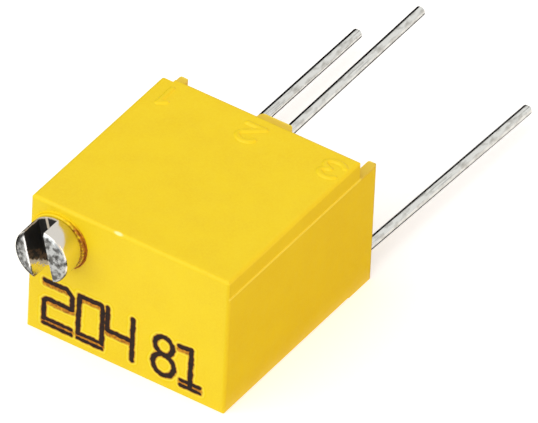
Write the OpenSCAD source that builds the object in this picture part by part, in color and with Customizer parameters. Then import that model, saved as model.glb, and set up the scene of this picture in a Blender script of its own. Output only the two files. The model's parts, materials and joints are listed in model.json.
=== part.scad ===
// Square multi-turn trimmer potentiometer with a corner adjusting screw and three wire leads.
// It lies on its filled face: X is the width, +Y points along the leads, +Z is up, in millimetres.
// The origin is the middle of the face that it lies on.

/* [Body] */
// Width of the housing
body_w = 6.12; // [6:0.01:7.5]
// Depth of the housing, from the screw's face to the back face, without the feet
body_d = 6.12; // [6:0.01:7.5]
// Height of the housing
body_h = 4.33; // [4.25:0.01:5.2]
// Wall round the filled pocket
rim_t = 0.30; // [0.25:0.01:0.32]
// Side walls above the ledge that the element sits on
side_t = 0.45; // [0.4:0.01:0.5]
// Front wall above the ledge
front_t = 0.55; // [0.5:0.01:0.6]
// Back wall above the ledge
back_t = 0.49; // [0.4:0.01:0.5]
// Top wall
top_t = 0.53; // [0.4:0.01:0.6]
// Rounding of the outer edges
edge_r = 0.10; // [0.06:0.01:0.15]
// Rounding of the rim's outer edges
rim_r = 0.05; // [0.02:0.01:0.1]
// Distance of the mould's parting line below the top
parting_drop = 0.55; // [0.45:0.01:0.6]
// Step inwards of the side walls above the parting line
parting_step = 0.02; // [0.015:0.005:0.06]
// Rounding of the back corners above the parting line
plate_r = 0.12; // [0.1:0.01:0.3]
// Width of the cut at the left back corner above the parting line, where the gate was trimmed
gate_cut_w = 0.38; // [0.2:0.01:0.5]
// Depth of that cut
gate_cut_d = 0.16; // [0.05:0.01:0.2]

/* [Feet] */
// Height of the feet that hold the back face off the board
foot_l = 0.77; // [0.4:0.01:1]
// Thickness of the two side feet
side_foot_w = 0.26; // [0.25:0.01:0.32]
// Distance of the left foot's outer face inside the left side
left_foot_inset = 0.04; // [0:0.01:0.04]
// Width of the middle foot
mid_foot_w = 1.05; // [0.8:0.01:1.4]
// Distance of the middle foot's underside below the middle lead
mid_foot_drop = 0.71; // [0.4:0.01:1]
// Rounding of the side feet
side_foot_r = 0.12; // [0.05:0.01:0.12]
// Rounding of the feet's upper ends
foot_top_r = 0.06; // [0.02:0.01:0.2]
// Rounding of the middle foot
mid_foot_r = 0.24; // [0.1:0.01:0.35]

/* [Adjusting screw] */
// Distance of the screw's axis from the left side
screw_inset = 0.91; // [0.88:0.005:0.93]
// Distance of the screw's axis below the top
screw_drop = 1.08; // [1.04:0.01:1.1]
// Radius of the collar round the screw
collar_r = 0.83; // [0.75:0.01:0.85]
// Height of the collar
collar_l = 0.11; // [0.1:0.01:0.25]
// Rounding of the collar's rim
collar_round = 0.05; // [0.03:0.01:0.08]
// Radius of the screw's head
head_r = 0.80; // [0.7:0.01:0.82]
// Length of the screw's head
head_l = 0.74; // [0.7:0.01:0.9]
// Chamfer of the screw's head
head_c = 0.07; // [0.03:0.01:0.1]
// Width of the screwdriver slot
slot_w = 0.62; // [0.4:0.01:0.64]
// Depth of the screwdriver slot
slot_l = 0.68; // [0.4:0.01:0.7]
// Lean of the slot from upright, at rest
slot_tilt = 15; // [-90:1:90]
// Distance of the slot's middle from the screw's axis
slot_off = 0.06; // [0:0.01:0.08]
// Radius of the screw's shank
shank_r = 0.50; // [0.5:0.01:0.53]
// Radius of the shank in its two grooves
neck_r = 0.31; // [0.25:0.01:0.35]
// Radius of the journal at the screw's inner end
tail_r = 0.27; // [0.2:0.01:0.35]
// Depth of the journal's bearing in the back wall
tail_seat = 0.26; // [0.2:0.01:0.3]
// Length of the shank behind the worm
tail_shank_l = 0.15; // [0.1:0.01:0.2]
// Thickness of the retainer plate
retainer_t = 0.16; // [0.12:0.01:0.2]
// Width of the retainer plate
retainer_w = 1.20; // [1:0.01:1.24]
// Length of the retainer plate's legs below the screw's axis
retainer_leg = 0.62; // [0.4:0.01:0.8]
// Width of the rib that stands beside the retainer plate
rib_w = 0.20; // [0.15:0.01:0.25]
// Height of the rib above the retainer plate
rib_h = 0.10; // [0.05:0.01:0.15]

/* [Worm drive] */
// Teeth on the worm wheel
wheel_teeth = 18; // [16:1:18]
// Module of the worm and its wheel
tooth_module = 0.20; // [0.18:0.005:0.2]
// Radius of the worm over its thread
worm_r = 0.49; // [0.47:0.01:0.49]
// Turns of the worm's thread
worm_turns = 5; // [4:1:5]
// Play between the thread and the teeth, along the worm
backlash = 0.11; // [0.08:0.01:0.14]
// Thickness of the worm wheel
wheel_t = 0.48; // [0.4:0.01:0.55]
// Wall of the wheel's boss round the hub
boss_t = 0.30; // [0.2:0.01:0.35]
// Distance of the wheel's axis from the front face
wheel_inset = 3.02; // [2.95:0.01:3.2]
// Radius of the hub that the wheel turns
hub_r = 1.05; // [0.95:0.01:1.1]
// Radius of the flange that carries the wheel
flange_r = 1.32; // [1.2:0.01:1.4]
// Thickness of the hub's flanges
flange_t = 0.22; // [0.15:0.01:0.3]
// Radius of the pivot post
post_r = 0.42; // [0.35:0.01:0.45]
// Length of the pivot post
post_l = 1.30; // [1:0.01:1.4]
// Travel of the hub between its stops, in degrees
hub_travel = 240; // [180:5:250]
// Place of the hub at rest, from the middle of its travel, in degrees
hub_rest = -15; // [-60:1:60]
// Radius of the stop peg
peg_r = 0.09; // [0.06:0.01:0.1]
// Distance of the stop peg from the wheel's axis
peg_at = 0.75; // [0.7:0.01:0.8]
// Length of the stop peg
peg_l = 0.26; // [0.15:0.01:0.3]

/* [Element] */
// Depth of the filled pocket, down to the element's face
pocket_l = 1.22; // [1.15:0.01:1.4]
// Thickness of the ceramic plate
plate_t = 0.38; // [0.3:0.01:0.4]
// Thickness of the printed films
film_t = 0.02; // [0.01:0.005:0.03]
// Middle radius of the resistor track
track_r = 1.72; // [1.6:0.01:1.8]
// Width of the resistor track
track_w = 0.46; // [0.3:0.01:0.5]
// Angle that the track runs on past the wiper's travel, at each end
track_over = 10; // [5:1:15]
// Radius of the collector disc
collector_r = 0.72; // [0.6:0.01:0.8]
// Width of the printed conductors
conductor_w = 0.42; // [0.3:0.01:0.5]
// Thickness of the wiper's sheet
wiper_t = 0.06; // [0.04:0.01:0.08]
// Inner radius of the wiper's ring
wiper_in_r = 0.80; // [0.75:0.01:0.85]
// Outer radius of the wiper's ring
wiper_out_r = 1.26; // [1.2:0.01:1.3]
// Height of the wiper's ring above its tips
wiper_lift = 0.42; // [0.35:0.01:0.5]
// Distance of the middle fingers' tips from the wheel's axis
middle_touch = 0.35; // [0.25:0.01:0.45]
// Width of one wiper finger
finger_w = 0.12; // [0.08:0.01:0.13]
// Spacing of the wiper fingers
finger_pitch = 0.17; // [0.15:0.01:0.2]
// Radius of the rivet pegs that hold the wiper
rivet_r = 0.10; // [0.08:0.01:0.12]
// Thickness of the rivets' heads, and their width round the pegs
rivet_head = 0.06; // [0.04:0.01:0.06]

/* [Leads] */
// Diameter of the lead wire
lead_d = 0.30; // [0.25:0.01:0.32]
// Grid that the leads stand on
lead_pitch = 2.54; // [2.5:0.01:2.54]
// Height of the outer two leads above the filled face
lead_z = 0.48; // [0.45:0.01:0.6]
// Length of the outer two leads past the feet
outer_lead_l = 7.70; // [3:0.05:12]
// Length of the middle lead past the feet
middle_lead_l = 6.75; // [3:0.05:12]
// Inward lean of the first lead, in degrees
lead_1_lean = 0.5; // [0:0.1:3]
// Outward lean of the third lead, in degrees
lead_3_splay = 2.1; // [0:0.1:3]
// Inner radius of the bends in the leads
bend_r = 0.12; // [0.1:0.01:0.14]
// Distance of the outer leads' legs from the back face
outer_leg_inset = 1.34; // [1.2:0.01:1.5]
// Distance of the middle lead's leg from the back face
middle_leg_inset = 0.90; // [0.88:0.01:0.92]
// Height of the outer leads' ends above the films
leg_over = 0.08; // [0.05:0.01:0.1]
// Height of a solder joint
solder_h = 0.14; // [0.1:0.01:0.2]
// Radius of a solder joint at its foot
solder_r = 0.29; // [0.25:0.01:0.32]
// Width of a solder joint's top round its lead
solder_rim = 0.03; // [0.02:0.01:0.05]
// Margin of the silver pads round the solder
pad_margin = 0.05; // [0.02:0.01:0.06]

/* [Fits] */
// Play all round between two parts that turn on each other
running = 0.03; // [0.02:0.005:0.05]
// Play between parts that lie still on each other
seated = 0.01; // [0.005:0.005:0.02]
// Gap between the wiper's tips and the films
wiper_gap = 0.02; // [0.01:0.005:0.03]
// Dip of the filling below the rim
fill_dip = 0.05; // [0.02:0.01:0.1]

/* [Hidden] */
$fn = 48;

// outside faces
side_x = body_w / 2;
front_y = -body_d / 2;
back_y = body_d / 2;
seat_y = back_y + foot_l;
parting_z = body_h - parting_drop;

// pocket for the element and the filling, and the room for the drive above it
pocket_x = side_x - rim_t;
pocket_front = front_y + rim_t;
pocket_back = back_y - rim_t;
room_x = side_x - side_t;
room_front = front_y + front_t;
room_back = back_y - back_t;
room_top = body_h - top_t;

// screw
screw_x = -side_x + screw_inset;
screw_z = body_h - screw_drop;
bore_r = shank_r + running;
head_end = front_y - collar_l - running;
head_y = head_end - head_l;
ring_y = front_y + (front_t - collar_l) / 2;
ring_r = (bore_r - neck_r - running) / 2;
tail_y = room_back + tail_seat;
retainer_y = room_front + seated;
retainer_low = screw_z - retainer_leg;
retainer_side = retainer_w / 2 + seated;

// worm drive
addendum = 0.65 * tooth_module;
dedendum = 0.85 * tooth_module;
tooth_pitch = PI * tooth_module;
tooth_w = (tooth_pitch - backlash) / 2;
worm_flank = 20;
wheel_foot_flank = 7;
wheel_tip_flank = 24;
worm_pitch_r = worm_r - addendum;
worm_root_r = worm_pitch_r - dedendum;
worm_l = worm_turns * tooth_pitch;
turn_slices = 14;
lead_angle = atan(tooth_pitch / (2 * PI * worm_pitch_r));
wheel_pitch_r = wheel_teeth * tooth_module / 2;
wheel_x = screw_x + worm_pitch_r + wheel_pitch_r;
wheel_y = front_y + wheel_inset;
wheel_low = screw_z - wheel_t / 2;
boss_r = hub_r + boss_t;
peg_angle = 90;
worm_start = wheel_y - worm_l / 2;
worm_end = wheel_y + worm_l / 2;

// element and wiper
element_z = pocket_l - seated;
plate_low = element_z - plate_t;
film_z = element_z + film_t;
tip_z = film_z + wiper_gap;
wiper_z = tip_z + wiper_lift;
hub_z = wiper_z + wiper_t + seated;
gap_half = 180 - hub_travel / 2 - track_over;
wiper_angle = -90 + hub_rest;
rivet_at = (wiper_in_r + wiper_out_r) / 2;
finger_root = 0.1;
toe_l = 0.1;
toe_rise = 0.04;

// leads
lead_r = lead_d / 2;
bend = bend_r + lead_r;
middle_lead_z = lead_z + lead_pitch;
outer_leg_y = back_y - outer_leg_inset;
middle_leg_y = back_y - middle_leg_inset;
leg_top = film_z + leg_over;
pad_r = solder_r + pad_margin;
join = 0.1;
hair = 0.003;
burr = 0.05;

// ---- shapes that repeat ----

// rectangle from low to high, with a rounding for each corner, counted round from low
module round_rect(low, high, r) {
    union() {
        polygon([[low.x + r[0], low.y], [high.x - r[1], low.y], [high.x, low.y + r[1]],
            [high.x, high.y - r[2]], [high.x - r[2], high.y], [low.x + r[3], high.y],
            [low.x, high.y - r[3]], [low.x, low.y + r[0]]]);
        if (r[0] > 0) translate([low.x + r[0], low.y + r[0]]) circle(r[0]);
        if (r[1] > 0) translate([high.x - r[1], low.y + r[1]]) circle(r[1]);
        if (r[2] > 0) translate([high.x - r[2], high.y - r[2]]) circle(r[2]);
        if (r[3] > 0) translate([low.x + r[3], high.y - r[3]]) circle(r[3]);
    }
}

module box(low, high) {
    translate(low) cube(high - low);
}

// rectangle of width w from a to b
module strip(a, b, w) {
    run = b - a;
    translate(a) rotate(atan2(run.y, run.x)) translate([0, -w / 2]) square([norm(run), w]);
}

// ring from radius a to radius b
module flat_ring(a, b) {
    difference() {
        circle(b);
        circle(a);
    }
}

// wide wedge round the direction middle, half its angle to each side
module wedge(middle, half) {
    reach = body_w + body_d;
    polygon([[0, 0], reach * [cos(middle - half), sin(middle - half)],
        reach * [cos(middle), sin(middle)], reach * [cos(middle + half), sin(middle + half)]]);
}

module both_sides() {
    children();
    mirror([1, 0, 0]) children();
}

// lays a shape drawn along +Z on the screw's axis, with its Z as the place along Y
module on_screw() {
    translate([screw_x, 0, screw_z]) rotate([-90, 0, 0]) children();
}

// sets a shape on the wheel's axis at height z
module on_wheel(z) {
    translate([wheel_x, wheel_y, z]) children();
}

// ---- housing ----

// outside of the moulding, with rounded edges and the step at the parting line
module housing_block() {
    intersection() {
        union() {
            linear_extrude(parting_z)
                round_rect([-side_x, front_y], [side_x, back_y], [edge_r, edge_r, 0, 0]);
            linear_extrude(body_h) union() {
                round_rect([-side_x, front_y], [side_x, back_y - gate_cut_d],
                    [edge_r, edge_r, 0, plate_r]);
                round_rect([gate_cut_w - side_x, front_y + 1], [side_x, back_y], [0, 0, plate_r, 0]);
            }
        }
        translate([0, back_y + 1, 0]) rotate([90, 0, 0]) linear_extrude(body_d + 2) union() {
            round_rect([-side_x, 0], [side_x, parting_z], [rim_r, rim_r, 0, 0]);
            round_rect([-side_x + parting_step, rim_r], [side_x - parting_step, body_h],
                [0, 0, edge_r, edge_r]);
        }
        translate([-side_x - 1, 0, 0]) rotate([90, 0, 90]) linear_extrude(body_w + 2)
            round_rect([front_y, 0], [back_y, body_h], [rim_r, rim_r, edge_r, edge_r]);
    }
}

// side view of the feet, with their upper ends rounded
module foot_side(low) {
    translate([-side_x - 1, 0, 0]) rotate([90, 0, 90]) linear_extrude(body_w + 2)
        round_rect([pocket_back, low], [seat_y, parting_z], [0, 0, foot_top_r, 0]);
}

module side_foot() {
    intersection() {
        linear_extrude(parting_z) round_rect([side_x - side_foot_w, pocket_back], [side_x, seat_y],
            [0, 0, side_foot_r, side_foot_r]);
        foot_side(0);
    }
}

module middle_foot() {
    intersection() {
        linear_extrude(parting_z) round_rect([-mid_foot_w / 2, back_y - back_t / 2],
            [mid_foot_w / 2, seat_y], [0, 0, mid_foot_r, mid_foot_r]);
        foot_side(middle_lead_z - mid_foot_drop);
    }
}

// ring that stands out of the front face round the screw, with a rounded rim
module collar() {
    rim = front_y - collar_l;
    on_screw() rotate_extrude() union() {
        translate([0, rim + collar_round]) square([collar_r, collar_l + front_t / 2 - collar_round]);
        translate([0, rim]) square([collar_r - collar_round, collar_l + front_t / 2]);
        translate([collar_r - collar_round, rim + collar_round]) circle(collar_round);
    }
}

// way out through the back rim for an outer lead, open at the filled face
module lead_notch() {
    half = lead_r + seated;
    box([lead_pitch - half, pocket_back - join, -1], [lead_pitch + half, back_y + 1, lead_z]);
    translate([lead_pitch, back_y + 1, lead_z]) rotate([90, 0, 0])
        cylinder(h = rim_t + join + 1, r = half);
}

// bore of the shank, run of the worm past the side wall, and the journal's bearing
module screw_bore() {
    on_screw() union() {
        translate([0, 0, front_y - collar_l - 1]) cylinder(h = collar_l + front_t + 1, r = bore_r);
        translate([0, 0, room_front]) cylinder(h = room_back - room_front, r = bore_r + running);
        translate([0, 0, room_front]) cylinder(h = tail_y - room_front, r = tail_r + running);
    }
}

// groove that the retainer slides up, with a rib at its open side
module retainer_guide() {
    box([screw_x - retainer_side, room_front, pocket_l - join],
        [0, room_front + retainer_t + 2 * seated, room_top]);
}

module retainer_rib() {
    box([screw_x + retainer_side, room_front - join, retainer_low],
        [screw_x + retainer_side + rib_w, room_front + retainer_t + rib_h, room_top + join]);
}

module housing() {
    color("#f4ce1a") union() {
        difference() {
            union() {
                housing_block();
                side_foot();
                mirror([1, 0, 0]) translate([-left_foot_inset, 0, 0]) side_foot();
                middle_foot();
                collar();
            }
            box([-pocket_x, pocket_front, -1], [pocket_x, pocket_back, pocket_l]);
            box([-room_x, room_front, 0], [room_x, room_back, room_top]);
            both_sides() box([0, outer_leg_y - pad_r, pocket_l - join],
                [pocket_x, outer_leg_y + pad_r, film_z + solder_h + pad_margin]);
            retainer_guide();
            screw_bore();
            both_sides() lead_notch();
            translate([lead_pitch, back_y, lead_z]) rotate([-90, 0, -lead_3_splay])
                cylinder(h = foot_l + 1, r = lead_r);
            translate([0, room_back - join, middle_lead_z]) rotate([-90, 0, 0])
                cylinder(h = back_t + foot_l + 1, r = lead_r + seated);
        }
        retainer_rib();
        // pivot post of the hub, and the peg that stops it
        on_wheel(room_top - post_l) cylinder(h = post_l + join, r = post_r);
        on_wheel(room_top - peg_l) rotate(peg_angle) translate([peg_at, 0, 0])
            cylinder(h = peg_l + join, r = peg_r);
    }
}

// filling of the pocket, run out into the two lead notches
module sealing_resin() {
    color("#4a4036") difference() {
        union() {
            box([-pocket_x, pocket_front, fill_dip], [pocket_x, pocket_back, plate_low - seated]);
            both_sides() intersection() {
                lead_notch();
                box([0, 0, fill_dip], [side_x, back_y - fill_dip, plate_low - seated]);
            }
        }
        both_sides() outer_wire(seated);
    }
}

// ---- element ----

// hole for a lead's leg, which runs out sideways to x = open when that lies further out
module lead_hole(x, y, open) {
    half = lead_r + 2 * seated;
    translate([x, y, plate_low - 1]) cylinder(h = plate_t + 2, r = half);
    if (open > x) box([x, y - half, plate_low - 1], [open, y + half, element_z + 1]);
}

module element_substrate() {
    color("#e9e6dc") difference() {
        box([-pocket_x + seated, pocket_front + seated, plate_low],
            [pocket_x - seated, pocket_back - seated, element_z]);
        both_sides() lead_hole(lead_pitch, outer_leg_y, side_x);
        lead_hole(0, middle_leg_y, 0);
    }
}

// plan of the resistor track, with its middle on the wheel's axis
module track_plan() {
    difference() {
        flat_ring(track_r - track_w / 2, track_r + track_w / 2);
        wedge(90, gap_half);
    }
}

module resistor_track() {
    color("#2b2a2c") on_wheel(element_z) linear_extrude(film_t) track_plan();
}

// silver film under the wiper's middle fingers, led back to the middle lead
module collector_film() {
    leg = [0, middle_leg_y];
    axis = [wheel_x, wheel_y];
    color("#c2bfb4") difference() {
        translate([0, 0, element_z]) linear_extrude(film_t) union() {
            translate(axis) circle(collector_r);
            strip(axis, leg, conductor_w);
            translate(leg) circle(pad_r);
        }
        lead_hole(0, middle_leg_y, 0);
    }
}

// silver film from an end of the track to its lead; side is -1 or 1
module end_film(side) {
    track_end = [wheel_x + side * track_r * sin(gap_half), wheel_y + track_r * cos(gap_half)];
    leg = [side * lead_pitch, outer_leg_y];
    inner_x = pocket_x - seated;
    color("#c2bfb4") difference() {
        translate([0, 0, element_z]) linear_extrude(film_t) intersection() {
            difference() {
                union() {
                    translate(track_end) circle(conductor_w / 2);
                    strip(track_end, leg, conductor_w);
                    translate(leg) circle(pad_r);
                }
                translate([wheel_x, wheel_y]) track_plan();
            }
            translate([-inner_x, -back_y]) square([2 * inner_x, body_d]);
        }
        both_sides() lead_hole(lead_pitch, outer_leg_y, side_x);
    }
}

// ---- leads ----

// wire from the back face in to its bend, and up (turn 1) or down (turn -1) its leg to leg_end;
// extra is added all round for the cuts that clear it
module bent_wire(leg_y, z, turn, leg_end, extra) {
    r = lead_r + extra;
    low = min(z + turn * bend, leg_end + turn * extra);
    high = max(z + turn * bend, leg_end + turn * extra);
    translate([0, leg_y + bend, z]) rotate([-90, 0, 0]) cylinder(h = back_y - leg_y - bend, r = r);
    translate([0, leg_y + bend, z + turn * bend]) mirror([0, 1, 0]) rotate([0, turn * 90, 0])
        rotate_extrude(angle = 90) translate([bend, 0]) circle(r);
    translate([0, leg_y, low]) cylinder(h = high - low, r = r);
}

// lead from the back face on to its cut end, length past the feet; lean turns it towards lead 3. It
// starts inside the wire, a hair thinner, and its tinning thins by another hair along the feet
module free_end(length, lean) {
    start_r = lead_r - hair;
    r = start_r - hair;
    end = foot_l + length;
    rotate([-90, 0, -lean]) rotate_extrude() polygon([[0, -join / 2], [start_r, -join / 2], [start_r, 0],
        [r, foot_l], [r, end - burr], [r - burr, end], [0, end]]);
}

module outer_wire(extra) {
    translate([lead_pitch, 0, 0]) bent_wire(outer_leg_y, lead_z, 1, leg_top, extra);
}

module lead_1() {
    color("#b4b6b4") union() {
        mirror([1, 0, 0]) outer_wire(0);
        translate([-lead_pitch, back_y, lead_z]) free_end(outer_lead_l, lead_1_lean);
    }
}

module lead_2() {
    color("#b4b6b4") union() {
        bent_wire(middle_leg_y, middle_lead_z, -1, plate_low, 0);
        translate([0, back_y, middle_lead_z]) free_end(middle_lead_l, 0);
    }
}

module lead_3() {
    color("#b4b6b4") union() {
        outer_wire(0);
        translate([lead_pitch, back_y, lead_z]) free_end(outer_lead_l, lead_3_splay);
    }
}

// cone of solder round a leg
module solder_cone() {
    cylinder(h = solder_h, r1 = solder_r, r2 = lead_r + solder_rim);
}

// solder over the end of an outer lead's leg; side is -1 or 1
module outer_solder(side) {
    inner_x = pocket_x - seated;
    color("#9fa1a3") difference() {
        intersection() {
            translate([side * lead_pitch, outer_leg_y, film_z]) solder_cone();
            box([-inner_x, front_y, 0], [inner_x, back_y, body_h]);
        }
        both_sides() outer_wire(seated);
    }
}

module solder_joint_2() {
    color("#9fa1a3") translate([0, middle_leg_y, film_z]) difference() {
        solder_cone();
        translate([0, 0, -1]) cylinder(h = 3, r = lead_r + seated);
    }
}

// ---- adjusting screw ----

// section of the worm across its axis: one crest, two flanks and the root
module worm_section() {
    crest = 360 * (tooth_w / 2 - addendum * tan(worm_flank)) / tooth_pitch;
    foot = crest + 360 * (addendum + dedendum) * tan(worm_flank) / tooth_pitch;
    middle_r = (worm_r + worm_root_r) / 2;
    middle = (crest + foot) / 2;
    corners = concat([for (i = [-2:2]) [crest * i / 2, worm_r]], [[middle, middle_r]],
        [for (i = [0:5]) [foot + (360 - 2 * foot) * i / 5, worm_root_r]], [[-middle, middle_r]]);
    polygon([for (c = corners) c[1] * [cos(c[0]), sin(c[0])]]);
}

// right-handed thread with a space towards the wheel at the wheel's middle
module worm_thread() {
    translate([0, 0, worm_start]) rotate(180 - 180 * worm_turns)
        linear_extrude(height = worm_l, twist = -360 * worm_turns, slices = turn_slices * worm_turns,
            segments = 0, $fn = 0) worm_section();
}

module screw_front() {
    ring_half = ring_r + running / 2;
    ring_low = ring_y - ring_half;
    ring_high = ring_y + ring_half;
    neck_low = retainer_y - running;
    neck_high = retainer_y + retainer_t + running;
    rotate_extrude() polygon([[0, head_y], [head_r - head_c, head_y], [head_r, head_y + head_c],
        [head_r, head_end], [shank_r, head_end], [shank_r, ring_low], [neck_r, ring_low],
        [neck_r, ring_high], [shank_r, ring_high], [shank_r, neck_low], [neck_r, neck_low],
        [neck_r, neck_high], [shank_r, neck_high], [shank_r, worm_start + join],
        [0, worm_start + join]]);
}

module screw_tail() {
    shoulder = worm_end + tail_shank_l;
    end = tail_y - running;
    rotate_extrude() polygon([[0, worm_end - join], [shank_r, worm_end - join], [shank_r, shoulder],
        [tail_r, shoulder], [tail_r, end - head_c], [tail_r - head_c, end], [0, end]]);
}

module adjusting_screw() {
    color("#c9c9c6") on_screw() difference() {
        union() {
            screw_front();
            worm_thread();
            screw_tail();
        }
        rotate(-slot_tilt) translate([-slot_off - slot_w / 2, -2 * head_r, head_y - 1])
            cube([slot_w, 4 * head_r, slot_l + 1]);
    }
}

module screw_seal_ring() {
    color("#2a2a2a") on_screw() translate([0, 0, ring_y]) rotate_extrude()
        translate([(neck_r + bore_r) / 2, 0]) circle(ring_r);
}

// forked plate that stands in the screw's inner groove
module screw_retainer() {
    half = neck_r + running;
    color("#d0b070") difference() {
        box([screw_x - retainer_w / 2, retainer_y, retainer_low],
            [screw_x + retainer_w / 2, retainer_y + retainer_t, room_top - seated]);
        on_screw() translate([0, 0, retainer_y - 1]) cylinder(h = retainer_t + 2, r = half);
        box([screw_x - half, retainer_y - 1, retainer_low - 1],
            [screw_x + half, retainer_y + retainer_t + 1, screw_z]);
    }
}

// ---- wheel, hub and wiper ----

// one tooth along +X, leaned to follow the thread
module wheel_tooth() {
    root_r = wheel_pitch_r - dedendum;
    tip_r = wheel_pitch_r + addendum;
    root_w = tooth_w / 2 + dedendum * tan(wheel_foot_flank);
    tip_w = tooth_w / 2 - addendum * tan(wheel_tip_flank);
    rotate([-lead_angle, 0, 0]) linear_extrude(2 * wheel_t, center = true)
        polygon([[root_r - join, -root_w], [root_r, -root_w], [wheel_pitch_r, -tooth_w / 2],
            [tip_r, -tip_w], [tip_r + join, -tip_w], [tip_r + join, tip_w], [tip_r, tip_w],
            [wheel_pitch_r, tooth_w / 2], [root_r, root_w], [root_r - join, root_w]]);
}

module worm_wheel() {
    color("#efefe8") on_wheel(screw_z) difference() {
        union() {
            intersection() {
                union() {
                    cylinder(h = wheel_t, r = wheel_pitch_r - dedendum, center = true);
                    for (i = [0:wheel_teeth - 1]) rotate(180 + i * 360 / wheel_teeth) wheel_tooth();
                }
                cylinder(h = wheel_t, r = wheel_pitch_r + addendum, center = true);
            }
            cylinder(h = room_top - running - screw_z, r = boss_r);
        }
        cylinder(h = 2 * body_h, r = hub_r + seated, center = true);
    }
}

// groove in the hub's top that the stop peg runs in
module stop_groove() {
    ends = asin((peg_r + running) / peg_at);
    solid_half = 180 - hub_travel / 2 - ends;
    translate([0, 0, room_top - peg_l - running]) linear_extrude(peg_l + running) difference() {
        flat_ring(peg_at - peg_r - running, peg_at + peg_r + running);
        wedge(peg_angle + hub_rest + 180, solid_half);
    }
}

module rotor_hub() {
    top = room_top - running;
    color("#1f2328") on_wheel(0) union() {
        difference() {
            union() {
                translate([0, 0, hub_z]) cylinder(h = top - hub_z, r = hub_r);
                translate([0, 0, hub_z]) cylinder(h = flange_t, r = flange_r);
                translate([0, 0, wheel_low - seated - flange_t]) cylinder(h = flange_t, r = flange_r);
            }
            translate([0, 0, room_top - post_l - running]) cylinder(h = post_l + 1, r = post_r + running);
            stop_groove();
        }
        for (side = [-1, 1]) rotate(wiper_angle + side * 90) translate([rivet_at, 0, 0]) union() {
            translate([0, 0, wiper_z - seated]) cylinder(h = hub_z - wiper_z + join, r = rivet_r);
            translate([0, 0, wiper_z - seated - rivet_head])
                cylinder(h = rivet_head, r = rivet_r + rivet_head);
        }
    }
}

// side view of a finger that leaves the wiper's ring at from and touches down at to
function finger_side(from, to) =
    let (heel = to - toe_l, toe = to + toe_l, low = tip_z + toe_rise,
        slope = atan((wiper_z - low) / (heel - from)))
    [[from, wiper_z], [heel, low], [to, tip_z], [toe, low], [toe, low + wiper_t],
        [to, tip_z + wiper_t], [heel, low + wiper_t / cos(slope)], [from, wiper_z + wiper_t]];

module finger(from, to, y) {
    translate([0, y, 0]) rotate([90, 0, 0]) linear_extrude(finger_w, center = true)
        polygon(finger_side(from, to));
}

module wiper_spring() {
    color("#cdb27a") on_wheel(0) rotate(wiper_angle) union() {
        translate([0, 0, wiper_z]) linear_extrude(wiper_t) difference() {
            flat_ring(wiper_in_r, wiper_out_r);
            for (side = [-1, 1]) translate([0, side * rivet_at]) circle(rivet_r + seated);
        }
        for (i = [-1:1]) finger(wiper_out_r - finger_root, track_r, i * finger_pitch);
        for (i = [-0.5, 0.5]) finger(-wiper_in_r - finger_root, middle_touch, i * finger_pitch);
    }
}

housing();
sealing_resin();
element_substrate();
resistor_track();
collector_film();
end_film(-1);  // end_film_1
end_film(1);  // end_film_3
lead_1();
lead_2();
lead_3();
outer_solder(-1);  // solder_joint_1
solder_joint_2();
outer_solder(1);  // solder_joint_3
screw_retainer();
adjusting_screw();
screw_seal_ring();
worm_wheel();
rotor_hub();
wiper_spring();
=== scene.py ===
"""Looks of a square multi-turn trimmer potentiometer: a yellow moulded housing with a nickel-plated
adjusting screw, pin numbers raised on its top, numbers burnt into its front, a bead of painted
shade round the screw's collar, and three tinned leads."""
import json
from math import cos, pi, radians, sin

import bmesh
import bpy
import numpy as np
from mathutils import Matrix, Vector


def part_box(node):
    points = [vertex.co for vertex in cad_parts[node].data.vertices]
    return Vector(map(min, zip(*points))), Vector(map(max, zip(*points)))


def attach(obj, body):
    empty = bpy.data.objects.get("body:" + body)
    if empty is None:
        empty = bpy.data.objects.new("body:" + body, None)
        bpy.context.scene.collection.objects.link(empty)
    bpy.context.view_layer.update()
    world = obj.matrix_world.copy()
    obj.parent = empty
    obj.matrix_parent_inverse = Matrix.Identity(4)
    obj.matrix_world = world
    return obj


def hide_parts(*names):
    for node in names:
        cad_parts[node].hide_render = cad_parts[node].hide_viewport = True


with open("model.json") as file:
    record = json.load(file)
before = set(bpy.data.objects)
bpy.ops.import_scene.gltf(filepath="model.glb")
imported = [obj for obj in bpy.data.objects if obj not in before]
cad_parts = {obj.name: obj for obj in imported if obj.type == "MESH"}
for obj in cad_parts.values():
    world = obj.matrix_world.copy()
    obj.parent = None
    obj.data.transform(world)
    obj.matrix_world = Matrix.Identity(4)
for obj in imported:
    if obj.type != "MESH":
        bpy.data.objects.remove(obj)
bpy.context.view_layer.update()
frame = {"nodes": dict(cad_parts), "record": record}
nodes = frame["nodes"]

MM = 0.001

# ---- places on the object, in millimetres ----

case_low, case_high = (np.array(corner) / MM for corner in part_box("housing"))
head_low, _ = (np.array(corner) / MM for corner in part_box("adjusting_screw"))
screw_joint = frame["record"]["behaviour"]["joints"][0]
SCREW_X, _, SCREW_Z = (value / MM for value in screw_joint["pos_m"])
COLLAR_L, COLLAR_R = 0.11, 0.83
FRONT_Y, TOP_Z = case_low[1] + COLLAR_L, case_high[2]
# the ends of the feet, and the back wall, which is as far back as the right wall is to the right
FEET_Y, BACK_Y = case_high[1], case_high[0]
FACE_Y = head_low[1]
HEAD_R, HEAD_L = 0.80, 0.74
# the slot's lean and how far it lies off the screw's middle, then its width and depth
SLOT_TILT, SLOT_OFF, SLOT_W, SLOT_L = radians(15), 0.06, 0.62, 0.68

# ---- camera ----

AIM_MM = (0.768, 2.337, 2.054)
VIEW_AZIMUTH, VIEW_ELEVATION, VIEW_ROLL = radians(31.833), radians(39.202), radians(2.890)
VIEW_DISTANCE_MM = 514.87
LENS_MM, SENSOR_MM = 1338.29, 36
# what the camera shows, in metres from it
NEAREST, FURTHEST = 0.01, 10


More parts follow.
